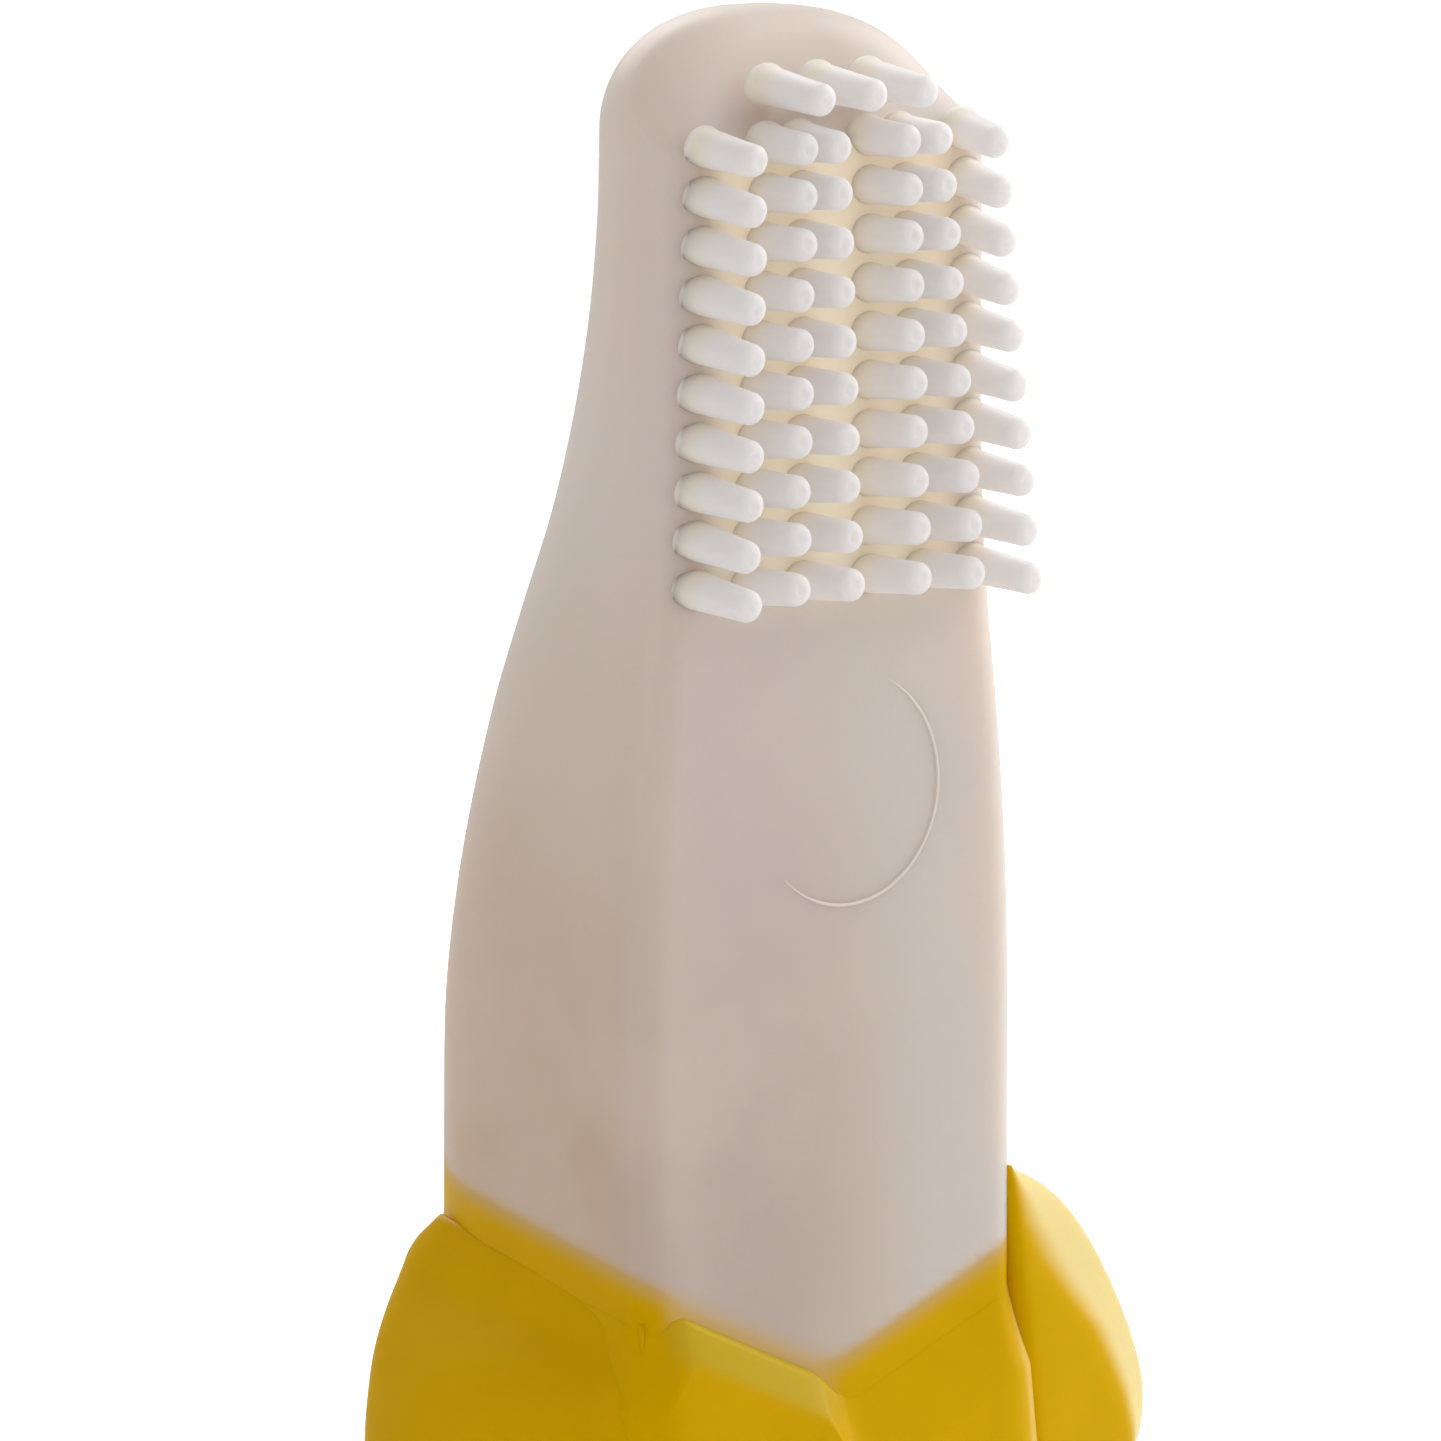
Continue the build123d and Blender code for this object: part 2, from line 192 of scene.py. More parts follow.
# Height against the degrees by which the outer and the inner bristles hang down.
OUTER_DROOP = [(39.0, 4.5), (58.0, 8.5)]
INNER_DROOP = [(39.0, -2.0), (56.5, 0.0), (58.5, 5.0)]

# Materials.
SILICONE_IOR = 1.41
GRAIN_DEPTH = 0.06
PEEL_SHINE = (1.0, 0.78, 0.12)  # colour of the light that the peel's surface throws back

# View and light.
VIEW_AZIMUTH = -39.0
VIEW_ELEVATION = 7.6
VIEW_DISTANCE = 564.0
VIEW_WIDTH = 56.63       # width of the picture at the middle of the brush
VIEW_AIM_RIGHT = 1.3
VIEW_AIM_UP = 33.43
SENSOR_WIDTH = 36.0
LIGHT_TARGET = (0, 0, 0.034)  # in metres


# ------------------------------------------------------------------ curves and sections
def smoothstep(low, high, x):
    """0 below low, 1 above high, and a soft S between; low may lie above high."""
    t = min(max((x - low) / (high - low), 0.0), 1.0)
    return t * t * (3 - 2 * t)


def smooth_between(stations, z):
    """Values at height z on a smooth curve through the stations, which may run up or down."""
    rising = stations[-1][0] > stations[0][0]
    table = stations if rising else stations[::-1]
    last = len(table) - 1
    z = min(max(z, table[0][0]), table[last][0] - 1e-6)
    index = max(i for i in range(last) if table[i][0] <= z)
    before, start = table[max(index - 1, 0)], table[index]
    end, after = table[index + 1], table[min(index + 2, last)]
    step = end[0] - start[0]
    t = (z - start[0]) / step
    values = []
    for low, a, b, high in zip(before[1:], start[1:], end[1:], after[1:]):
        slope_a = (b - low) / (end[0] - before[0]) * step if before is not start else 0.0
        slope_b = (high - a) / (after[0] - start[0]) * step if after is not end else 0.0
        if before is start:
            slope_a = (b - a) if end is after else (b - a) * 0.8
        if after is end:
            slope_b = b - a
        values.append(
            (2 * t ** 3 - 3 * t ** 2 + 1) * a
            + (t ** 3 - 2 * t ** 2 + t) * slope_a
            + (3 * t ** 2 - 2 * t ** 3) * b
            + (t ** 3 - t ** 2) * slope_b
        )
    return values


def linear_between(table, z):
    """Straight-line interpolation in a rising (z, value) table."""
    if z <= table[0][0]:
        return table[0][1]
    for (z0, a), (z1, b) in zip(table, table[1:]):
        if z <= z1:
            return a + (b - a) * (z - z0) / (z1 - z0)
    return table[-1][1]


def outline(half_width, side_depth, back_depth, front_y, corner_x, corner_y):
    """Points (x, y) round a sleeve section: flat front, rounded front corners, straight sides, round back."""
    front_steps, corner_steps, side_steps, back_steps = 28, 8, 10, 36
    side_y = front_y + side_depth
    inner_x = half_width - corner_x
    points = []
    for i in range(front_steps):
        points.append((-inner_x + 2 * inner_x * i / front_steps, front_y))
    for i in range(corner_steps):
        a = math.radians(90 * i / corner_steps)
        points.append((inner_x + corner_x * math.sin(a), front_y + corner_y * (1 - math.cos(a))))
    for i in range(side_steps):
        points.append((half_width, front_y + corner_y + (side_depth - corner_y) * i / side_steps))
    for i in range(back_steps):
        a = math.pi * i / back_steps
        points.append((half_width * math.cos(a), side_y + back_depth * math.sin(a)))
    for i in range(side_steps):
        points.append((-half_width, side_y - (side_depth - corner_y) * i / side_steps))
    for i in range(corner_steps):
        a = math.radians(90 * i / corner_steps)
        points.append((-inner_x - corner_x * math.cos(a), front_y + corner_y * (1 - math.sin(a))))
    return points


def sleeve_ring(z, grow=0.0):
    """Sleeve section at height z below the dome, grown outward by a margin."""
    width, side, back = smooth_between(SLEEVE_STATIONS, z)
    corner = CORNER_RADIUS + grow
    return outline(width + grow, side + grow, back + grow, FRONT_Y - grow, corner, corner)


def dome_ring(angle):
    """Dome section: angle runs from 0 at the head to 90 degrees at the apex."""
    _, width, side, back = SLEEVE_STATIONS[-1]
    shrink = math.cos(angle) ** DOME_FULLNESS
    rise = math.sin(angle)
    middle_y = FRONT_Y + (side + back) / 2 + DOME_SETBACK * rise ** 2
    corner_y = (CORNER_RADIUS + (side - CORNER_RADIUS - 0.1) * rise) * shrink
    corner_x = (CORNER_RADIUS + (DOME_CORNER_SHARE * width - CORNER_RADIUS) * rise) * shrink
    slope = DOME_FRONT_SLOPE * math.sin(math.pi * rise) * smoothstep(-0.1, 0.3, rise)
    front_y = middle_y - (side + back) / 2 * shrink + slope
    side_depth = side * shrink - DOME_SLOPE_SIDE * slope
    back_depth = back * shrink - (1 - DOME_SLOPE_SIDE) * slope
    corner_y = min(corner_y, side_depth - 0.05 * shrink)
    ring = outline(width * shrink, side_depth, back_depth, front_y, corner_x, corner_y)
    return ring, HEAD_Z + DOME_HEIGHT * rise


# ------------------------------------------------------------------ mesh helpers
def new_object(name, points, faces):
    """Smooth-shaded mesh object from millimetre points."""
    mesh = bpy.data.meshes.new(name)
    mesh.from_pydata([(x * MM, y * MM, z * MM) for x, y, z in points], [], faces)
    mesh.polygons.foreach_set("use_smooth", [True] * len(mesh.polygons))
    mesh.update()
    obj = bpy.data.objects.new(name, mesh)
    bpy.context.scene.collection.objects.link(obj)
    return obj


def skin(rings, cap_start=True, cap_end=True, closed_loop=False):
    """Points and quads through rings of equal length, with fan caps at the ends."""
    count = len(rings[0])
    points = [p for ring in rings for p in ring]
    faces = []
    bands = len(rings) if closed_loop else len(rings) - 1
    for r in range(bands):
        a, b = r * count, ((r + 1) % len(rings)) * count
        for i in range(count):
            j = (i + 1) % count
            faces.append((a + i, a + j, b + j, b + i))
    if cap_start:
        centre = [sum(c) / count for c in zip(*rings[0])]
        points.append(tuple(centre))
        top = len(points) - 1
        faces += [(top, (i + 1) % count, i) for i in range(count)]
    if cap_end:
        centre = [sum(c) / count for c in zip(*rings[-1])]
        points.append(tuple(centre))
        top = len(points) - 1
        base = (len(rings) - 1) * count
        faces += [(top, base + i, base + (i + 1) % count) for i in range(count)]
    return points, faces


def add_attribute(obj, name, values):
    """One number per vertex, read by the material."""
    attribute = obj.data.attributes.new(name, "FLOAT", "POINT")
    attribute.data.foreach_set("value", values)


# ------------------------------------------------------------------ materials
class Nodes:
    """Small helper for building a node material."""

    def __init__(self, name):
        self.material = bpy.data.materials.new(name)
        self.material.use_nodes = True
        self.tree = self.material.node_tree
        self.shader = self.tree.nodes["Principled BSDF"]

    def add(self, kind, **settings):
        node = self.tree.nodes.new(kind)
        for key, value in settings.items():
            if key in node.inputs:
                node.inputs[key].default_value = value
            else:
                setattr(node, key, value)
        return node

    def link(self, source, target):
        self.tree.links.new(source, target)

    def math(self, operation, a, b):
        node = self.tree.nodes.new("ShaderNodeMath")
        node.operation = operation
        for slot, value in enumerate((a, b)):
            if isinstance(value, (int, float)):
                node.inputs[slot].default_value = value
            else:
                self.link(value, node.inputs[slot])
        return node.outputs[0]

    def mix(self, factor, a, b):
        """Colour mix; a factor or colour may be a fixed value or another node's output."""
        node = self.tree.nodes.new("ShaderNodeMix")
        node.data_type = "RGBA"
        for slot, value in ((0, factor), (6, a), (7, b)):
            if isinstance(value, (int, float)):
                node.inputs[slot].default_value = value
            elif isinstance(value, tuple):
                node.inputs[slot].default_value = (*value, 1.0)
            else:
                self.link(value, node.inputs[slot])
        return node.outputs[2]

    def position(self):
        """Object coordinates as a vector in metres, and as x, y and z in millimetres."""
        where = self.add("ShaderNodeTexCoord")
        split = self.add("ShaderNodeSeparateXYZ")
        self.link(where.outputs["Object"], split.inputs[0])
        return where.outputs["Object"], [self.math("DIVIDE", split.outputs[i], MM) for i in range(3)]

    def noise(self, vector, scale, detail=3.0, roughness=0.5):
        node = self.add("ShaderNodeTexNoise", Scale=scale, Detail=detail, Roughness=roughness)
        self.link(vector, node.inputs["Vector"])
        return node.outputs["Fac"]

    def ramp(self, value, low, high):
        node = self.tree.nodes.new("ShaderNodeMapRange")
        node.interpolation_type = "SMOOTHSTEP"
        node.inputs["From Min"].default_value = low
        node.inputs["From Max"].default_value = high
        self.link(value, node.inputs["Value"])
        return node.outputs["Result"]

    def attribute(self, name):
        node = self.add("ShaderNodeAttribute", attribute_name=name)
        return node.outputs["Fac"]

    def bump(self, height, strength, distance):
        node = self.add("ShaderNodeBump", Strength=strength, Distance=distance)
        self.link(height, node.inputs["Height"])
        self.link(node.outputs[0], self.shader.inputs["Normal"])


def silicone(nodes, colour, scale_mm, radius, roughness=0.42, specular=0.35):
    """Shared soft translucent finish: subsurface light, satin surface and a very fine moulded grain."""
    inputs = nodes.shader.inputs
    nodes.link(colour, inputs["Base Color"])
    inputs["Subsurface Weight"].default_value = 1.0
    inputs["Subsurface Radius"].default_value = radius
    inputs["Subsurface Scale"].default_value = scale_mm * MM
    inputs["IOR"].default_value = SILICONE_IOR
    inputs["Specular IOR Level"].default_value = specular
    vector, _ = nodes.position()
    grain = nodes.noise(vector, 9000.0, 2.0, 0.6)
    wave = nodes.noise(vector, 260.0, 2.0, 0.5)
    rough = nodes.math("ADD", nodes.math("MULTIPLY", wave, 0.14), roughness - 0.07)
    nodes.link(rough, inputs["Roughness"])
    height = nodes.math("ADD", nodes.math("MULTIPLY", grain, 0.25), wave)
    nodes.bump(height, 0.10, GRAIN_DEPTH * MM)


def yellow_base(nodes, vector):
    """Saturated peel yellow with a faint cloudiness, shared by the peel and the tinted end of the sleeve."""
    mottle = nodes.noise(vector, 120.0, 3.0, 0.55)
    return nodes.mix(nodes.ramp(mottle, 0.3, 0.75), (0.73, 0.425, 0.0), (0.79, 0.47, 0.0))


def white_silicone():
    """Milky sleeve: warmer and darker towards the finger, with painted shade on the front face and right-hand
    side, yellow near the collar and a painted glow on the bristle bed.
    """
    n = Nodes("milky_silicone")
    vector, (x, y, z) = n.position()
    # Flank, then front face, then right-hand side: each paler towards the tip, browner towards the finger.
    # The darker, greyer front face and right-hand side are painted shade.
    low = n.ramp(z, 46.0, 14.0)
    base = n.mix(low, (0.84, 0.755, 0.695), (0.665, 0.50, 0.37))
    face = n.math("MULTIPLY", n.ramp(y, -6.0, -9.0), n.ramp(x, 7.0, -4.0))
    base = n.mix(face, base, n.mix(low, (0.765, 0.685, 0.645), (0.63, 0.535, 0.485)))
    side = n.math("MULTIPLY", n.ramp(x, -3.0, 6.0), n.ramp(y, 2.0, -8.0))
    base = n.mix(side, base, (0.74, 0.69, 0.65))
    mottle = n.noise(vector, 90.0, 3.0, 0.55)
    base = n.mix(n.ramp(mottle, 0.35, 0.7), base, n.mix(0.5, base, (0.80, 0.70, 0.62)))
    # Near the collar the white turns warm and then yellow; the bristle bed gets a painted cream glow.
    peel = n.attribute("peel_glow")
    warm = n.mix(n.ramp(peel, 0.0, 0.45), base, (0.69, 0.47, 0.17))
    base = n.mix(n.ramp(peel, 0.2, 1.0), warm, yellow_base(n, vector))
    glow = n.attribute("painted_bed_glow")
    base = n.mix(n.math("MULTIPLY", glow, 0.5), base, (0.90, 0.78, 0.55))
    silicone(n, base, 2.4, (1.0, 0.80, 0.62))
    # Light travels less far, and the surface shines yellow, where the peel lies under the surface.
    milky = n.math("SUBTRACT", 1.0, n.ramp(peel, 0.0, 0.4))
    scale = n.math("MULTIPLY", n.math("ADD", n.math("MULTIPLY", milky, 2.1), 0.3), MM)
    n.link(scale, n.shader.inputs["Subsurface Scale"])
    n.link(n.math("ADD", n.math("MULTIPLY", milky, 0.7), 0.3), n.shader.inputs["Subsurface Weight"])
    n.link(n.math("ADD", n.math("MULTIPLY", milky, 0.23), 0.12), n.shader.inputs["Specular IOR Level"])
    n.link(n.mix(n.ramp(peel, 0.2, 0.9), (1.0, 1.0, 1.0), PEEL_SHINE), n.shader.inputs["Specular Tint"])
    # Painted glow on the bristle bed, standing in for light scattered between the bristles.
    n.shader.inputs["Emission Color"].default_value = (1.0, 0.86, 0.60, 1)
    n.link(n.math("MULTIPLY", glow, 0.25), n.shader.inputs["Emission Strength"])
    return n.material


def witness_silicone():
    """The mould line: the sleeve's colour with a painted glow that makes it a touch lighter, standing in for
    the deep light of the thick wall.
    """
    n = Nodes("mould_line_silicone")
    vector, _ = n.position()
    mottle = n.noise(vector, 90.0, 3.0, 0.55)
    base = n.mix(mottle, (0.70, 0.62, 0.565), (0.77, 0.69, 0.635))
    n.link(base, n.shader.inputs["Base Color"])
    n.shader.inputs["Roughness"].default_value = 0.5
    # Painted glow: the line lights itself a little above the face around it.
    n.link(base, n.shader.inputs["Emission Color"])
    n.shader.inputs["Emission Strength"].default_value = 0.13
    return n.material


def bristle_silicone():
    """Bristles: painted warm light where they meet the bed, whiter towards the tips, and a painted glow for
    the light carried inside.
    """
    n = Nodes("bristle_silicone")
    along = n.attribute("along")
    # Painted warm light at the roots, fading to white towards the tips.
    base = n.mix(n.ramp(along, 0.0, 0.45), (0.82, 0.745, 0.65), (0.82, 0.80, 0.80))
    silicone(n, base, 1.8, (1.0, 0.92, 0.85), roughness=0.42, specular=0.25)
    # Painted glow: warm at the roots, a cool white towards the tips.
    inner = n.mix(n.ramp(along, 0.0, 0.45), (1.0, 0.88, 0.70), (0.95, 0.96, 1.0))
    n.link(inner, n.shader.inputs["Emission Color"])
    n.link(n.math("SUBTRACT", 0.085, n.math("MULTIPLY", along, 0.06)), n.shader.inputs["Emission Strength"])
    return n.material


def yellow_silicone():
    """Peel: saturated yellow, with a painted sheen on the sloping edge of the notch and painted pale light
    and glow at thin rims.
    """
    n = Nodes("peel_silicone")
    vector, _ = n.position()
    base = yellow_base(n, vector)
    # Painted sheen on the sloping edge of the notch.
    base = n.mix(n.attribute("bevel"), base, (0.62, 0.45, 0.03))
    # Painted pale light along thin rims and the collar's front corner.
    rim = n.attribute("rim")
    base = n.mix(rim, base, (0.86, 0.71, 0.31))
    silicone(n, base, 0.3, (1.0, 0.6, 0.05), roughness=0.40, specular=0.12)
    n.link(n.math("ADD", n.math("MULTIPLY", rim, 0.5), 0.3), n.shader.inputs["Subsurface Weight"])
    n.shader.inputs["Specular Tint"].default_value = (*PEEL_SHINE, 1)
    # Painted glow at the rims.
    n.shader.inputs["Emission Color"].default_value = (1.0, 0.80, 0.30, 1)
    n.link(n.math("MULTIPLY", rim, 0.05), n.shader.inputs["Emission Strength"])
    return n.material


def floor_material():
    """Plain pale floor, near white to the camera."""
    n = Nodes("pale_floor")
    vector, _ = n.position()
    cloud = n.noise(vector, 3.0, 2.0)
    colour = n.mix(n.ramp(cloud, 0.3, 0.7), (0.86, 0.86, 0.86), (0.90, 0.90, 0.90))
    n.link(colour, n.shader.inputs["Base Color"])
    n.shader.inputs["Roughness"].default_value = 0.9
    n.shader.inputs["Specular IOR Level"].default_value = 0.1
    path = n.add("ShaderNodeLightPath")
    n.shader.inputs["Emission Color"].default_value = (1, 1, 1, 1)
    n.link(n.math("MULTIPLY", path.outputs["Is Camera Ray"], 0.75), n.shader.inputs["Emission Strength"])
    return n.material


# ------------------------------------------------------------------ sleeve
def edge_height(x, y):
    """Height of the yellow edge at a point round the sleeve: a V in front, a straight rise at the side."""
    from_middle = math.hypot(x, NOTCH_ROUNDING) - NOTCH_ROUNDING
    share = min(from_middle / (HALF_WIDTH - NOTCH_ROUNDING), 1.0)
    front = NOTCH_BOTTOM_Z + (CORNER_EDGE_Z - NOTCH_BOTTOM_Z) * share
    side = CORNER_EDGE_Z + (BACK_EDGE_Z - CORNER_EDGE_Z) * (y - FRONT_Y) / (BACK_Y - FRONT_Y)
    return front + (side - front) * smoothstep(FRONT_Y, FRONT_Y + 1.4, y)


def crispness(x, y):
    """1 along the left half of the V, where the edge is a clear step; 0 where it fades into the sleeve."""
    if y > FRONT_Y + FRONT_DEPTH:
        return 0.0
    return smoothstep(-8.9, -7.6, x) * (1.0 - smoothstep(-1.2, 0.9, x))


def build_sleeve(material):
    """Hollow finger sleeve: cavity skin, rounded mouth and outer skin in one closed mesh."""
    cavity_steps, outer_steps, dome_steps = 46, 120, 26
    foot_bevel = 0.15
    base = sleeve_ring(0.0)
    angles = [math.atan2(y, x) for x, y in base]
    rings = []
    cavity_top = CAVITY_STATIONS[-1][0]

    def cavity_ring(width, front, back, z):
        middle, half = (front + back) / 2, (back - front) / 2
        return [(width * math.cos(a), middle + half * math.sin(a), z) for a in angles]

    for share in (0.25, 0.6, 0.85):
        width, front, back = CAVITY_STATIONS[-1][1:]
        middle = (front + back) / 2
        reach = math.sin(share * math.pi / 2)
        z = cavity_top + CAVITY_END_DEPTH * math.cos(share * math.pi / 2)
        rings.append(
            cavity_ring(width * reach, middle - (middle - front) * reach, middle + (back - middle) * reach, z)
        )
    for i in range(cavity_steps):
        z = cavity_top * (1 - i / cavity_steps)
        width, front, back = smooth_between(CAVITY_STATIONS, z)
        if z < BORE_TOP_Z:
            width, front, back = BORE_RADIUS, -BORE_RADIUS, BORE_RADIUS
        rings.append(cavity_ring(width, front, back, z))
    for turn in (30, 60, 90):
        a = math.radians(turn)
        reach = BORE_RADIUS + MOUTH_ROUNDING * (1 - math.cos(a))
        rings.append(cavity_ring(reach, -reach, reach, MOUTH_ROUNDING * (1 - math.sin(a))))
    rings.append([(x, y, 0.0) for x, y in sleeve_ring(0.0, -foot_bevel)])
    for z in [foot_bevel] + [HEAD_Z * i / outer_steps for i in range(1, outer_steps + 1)]:
        rings.append([(x, y, z) for x, y in sleeve_ring(z)])
    for i in range(1, dome_steps + 1):
        ring, z = dome_ring(math.radians(89.0 * i / dome_steps))
        rings.append([(x, y, z) for x, y in ring])
    points, faces = skin(rings)
    faces = [face[::-1] for face in faces]
    sleeve = new_object("silicone_sleeve", points, faces)
    glow, bed = [], []
    for x, y, z in points:
        above = z - edge_height(x, y)
        inside = math.hypot(x, y) < BORE_RADIUS + 0.1
        crisp = crispness(x, y)
        shade = (1 - smoothstep(-0.45, 1.35, above)) * (1 - crisp)
        shade += 0.42 * crisp * (1 - smoothstep(-0.3, 1.7, above))
        glow.append(0.0 if inside else shade)
        # Mask of the painted glow on the bristle bed.
        field = smoothstep(38.0, 42.0, z) * (1 - smoothstep(56.0, 60.0, z))
        field *= 1 - smoothstep(4.5, 7.6, abs(x))
        bed.append(field if y < FRONT_Y + 0.3 else 0.0)
    add_attribute(sleeve, "peel_glow", glow)
    add_attribute(sleeve, "painted_bed_glow", bed)
    sleeve.data.materials.append(material)
    return sleeve


def build_witness_ring(material):
    """Faint circular mould line on the front face, sinking into the face on its upper left."""
    steps, around = 120, 10
    centre_x, centre_z = WITNESS_CENTRE
    rings = []
    for i in range(steps):
        a = 2 * math.pi * i / steps
        sink = WITNESS_SINK * (1 - math.cos(a + math.radians(WITNESS_FADE_ANGLE))) / 2
        ring = []
        for j in range(around):
            b = 2 * math.pi * j / around
            reach = WITNESS_RADIUS + WITNESS_HALF_WIDTH * math.cos(b)
            y = FRONT_Y + sink + WITNESS_HEIGHT * math.sin(b)
            ring.append((centre_x + reach * math.cos(a), y, centre_z + reach * math.sin(a)))
        rings.append(ring)
    points, faces = skin(rings, False, False, closed_loop=True)
    ring = new_object("witness_ring", points, faces)
    ring.data.materials.append(material)
    return ring


# ------------------------------------------------------------------ bristles
def bristle_profile(length):
    """(radius, distance from the bed, broadening) from the root in the bed to the dimpled tip."""
    tip, root = BRISTLE_TIP_RADIUS, BRISTLE_ROOT_RADIUS
    profile = [(root + 0.10, -0.25, BRISTLE_WIDENING), (root + 0.04, -0.08, BRISTLE_WIDENING)]
    shaft_start, shaft_end = 0.05, length - BRISTLE_TIP_DEPTH
    for i in range(10):
        t = i / 9
        radius = tip + (root - tip) * (1 - t) ** 1.25
        profile.append((radius, shaft_start + (shaft_end - shaft_start) * t, BRISTLE_WIDENING * (1 - t)))
    for i in range(1, 8):
        a = math.radians(80 * i / 7)
        rounded = tip * (0.42 + 0.58 * math.cos(a))
        profile.append((rounded, shaft_end + BRISTLE_TIP_DEPTH * math.sin(a), 0.0))
    for radius, depth in ((0.42, 0.0), (0.34, 0.03), (0.22, 0.09)):
        profile.append((tip * radius, length - depth, 0.0))
    return profile


def tip_across(x, along, length):
    """Where the tip of a bristle rooted at x stands; along runs from 0 in the first row to 1 in the last."""
    if abs(x) > OUTER_FROM:
        return math.copysign(OUTER_TIPS[0] + (OUTER_TIPS[1] - OUTER_TIPS[0]) * along, x)
    return x + math.sin(math.radians(SPLAY_PER_MM * x)) * length


def build_row(name, body, places, length, material, dice):
    """One row of moulded bristles in a single mesh, each bristle leaning out from its root."""
    points, faces, along = [], [], []
    for x, tip_x, y, z in places:
        outer = abs(x) > OUTER_FROM
        reach = length + (OUTER_COLUMN_EXTRA if outer else 0.0)
        reach *= 1 + dice.uniform(-0.012, 0.012)
        yaw = math.asin((tip_x - x) / reach) + math.radians(dice.uniform(-0.8, 0.8))
        droop = linear_between(OUTER_DROOP if outer else INNER_DROOP, z)
        droop = math.radians(droop + dice.uniform(-1.0, 1.0))
        axis = Vector((math.sin(yaw) * math.cos(droop), -math.cos(yaw) * math.cos(droop), -math.sin(droop)))
        side = axis.cross(Vector((0, 0, 1))).normalized()
        up = side.cross(axis)
        profile = bristle_profile(reach)
        rings = []
        for radius, distance, broad in profile:
            centre = Vector((x, y, z)) + axis * distance
            ring = []
            for i in range(BRISTLE_POINTS):
                a = 2 * math.pi * i / BRISTLE_POINTS
                p = centre + (side * math.cos(a) * (1 + broad) + up * math.sin(a)) * radius
                ring.append(tuple(p))
            rings.append(ring)
        bristle_points, bristle_faces = skin(rings)
        offset = len(points)
        points += bristle_points
        faces += [tuple(offset + i for i in face) for face in bristle_faces]
        shares = [min(max(d / reach, 0.0), 1.0) for _, d, _ in profile]
        along += [s for s in shares for _ in range(BRISTLE_POINTS)] + [0.0, 1.0]
    row = new_object(name, points, faces)
    add_attribute(row, "along", along)
    row.data.materials.append(material)
    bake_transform(row)
    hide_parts(body)
    return row


# ------------------------------------------------------------------ collar
def collar_column(x, y):
    """(height, distance proud of the sleeve) down the collar at one point round it, from top edge to foot."""
    edge_shares = (0.0, 0.06, 0.13, 0.22, 0.33, 0.46, 0.6, 0.73, 0.86, 1.0)
    step_share = 0.12
    levels = 40
    crisp = crispness(x, y)
    top = edge_height(x, y) - EDGE_OVERLAP * (1 - crisp)
    reach = SOFT_EDGE_REACH + (CRISP_EDGE_REACH - SOFT_EDGE_REACH) * crisp
    lowest = top - reach
    full = linear_between(COLLAR_PROUD, lowest)
    column = [(top - 0.9, -COLLAR_SINK), (top - 0.1, -COLLAR_SINK), (top - 0.02, -0.10)]
    for share in edge_shares:
        soft = -0.03 + (full + 0.03) * share ** 1.35
        hard = CRISP_STEP * min(share / step_share, 1.0)
        hard += (full - CRISP_STEP) * max(share - step_share, 0.0) / (1 - step_share)
        column.append((top - reach * share, soft + (hard - soft) * crisp))
    for i in range(1, levels + 1):
        z = lowest + (FOOT_ROUNDING - lowest) * i / levels
        column.append((z, linear_between(COLLAR_PROUD, z)))
    foot = linear_between(COLLAR_PROUD, 0.0)
    for turn in (30, 60, 90):
        a = math.radians(turn)
        column.append((FOOT_ROUNDING * (1 - math.sin(a)), foot - FOOT_ROUNDING * (1 - math.cos(a))))
    column.append((0.0, -COLLAR_SINK))
    return column


def build_collar(material):
    """Yellow collar: top edge with the V notch, sloping bevel, flared wall and rounded foot."""
    columns = [collar_column(x, y) for x, y in sleeve_ring(0.0)]
    rings = []
    for level in range(len(columns[0])):
        ring = []
        for k, column in enumerate(columns):
            z, proud = column[level]
            ring.append((*sleeve_ring(0.0, proud)[k], z))
        rings.append(ring)
    points, faces = skin(rings, False, False, closed_loop=True)
    faces = [face[::-1] for face in faces]
    collar = new_object("peel_collar_skin", points, faces)
    bevel, rim = [], []
    for x, y, z in points:
        # Mask of the painted sheen on the sloping bevel below the crisp left half of the V.
        near_x = max(min(x, HALF_WIDTH), -HALF_WIDTH)
        below = edge_height(near_x, y) - z
        bevel.append(0.8 * crispness(near_x, y) * (1 - smoothstep(1.3, 2.1, below)))
        # Mask of the painted highlight along the collar's front right corner.
        proud = linear_between(COLLAR_PROUD, z)
        corner_x = HALF_WIDTH - CORNER_RADIUS + 0.62 * (CORNER_RADIUS + proud)
        on_corner = 1 - smoothstep(0.05, 0.42, abs(x - corner_x))
        rim.append(0.5 * on_corner * smoothstep(-1.0, 1.5, below) if y < FRONT_Y + FRONT_DEPTH else 0.0)
    add_attribute(collar, "bevel", bevel)
    add_attribute(collar, "rim", rim)
    collar.data.materials.append(material)
    return collar


# ------------------------------------------------------------------ petals
def evenly(points, count):
    """The closed outline resampled to a number of evenly spaced points."""
    loop = points + [points[0]]
    steps = [math.dist(a, b) for a, b in zip(loop, loop[1:])]
    total = sum(steps)
    result = []
    index, passed = 0, 0.0
    for k in range(count):
        goal = total * k / count
        while passed + steps[index] < goal:
            passed += steps[index]
            index += 1
        share = (goal - passed) / max(steps[index], 1e-9)
        a, b = loop[index], loop[index + 1]
        result.append((a[0] + (b[0] - a[0]) * share, a[1] + (b[1] - a[1]) * share))
    return result


def relaxed(points, times):
    """The closed outline with its corners softened."""
    for _ in range(times):
        points = [
            ((p[0] + 2 * q[0] + r[0]) / 4, (p[1] + 2 * q[1] + r[1]) / 4)
            for p, q, r in zip(points[-1:] + points[:-1], points, points[1:] + points[:1])
        ]
    return points


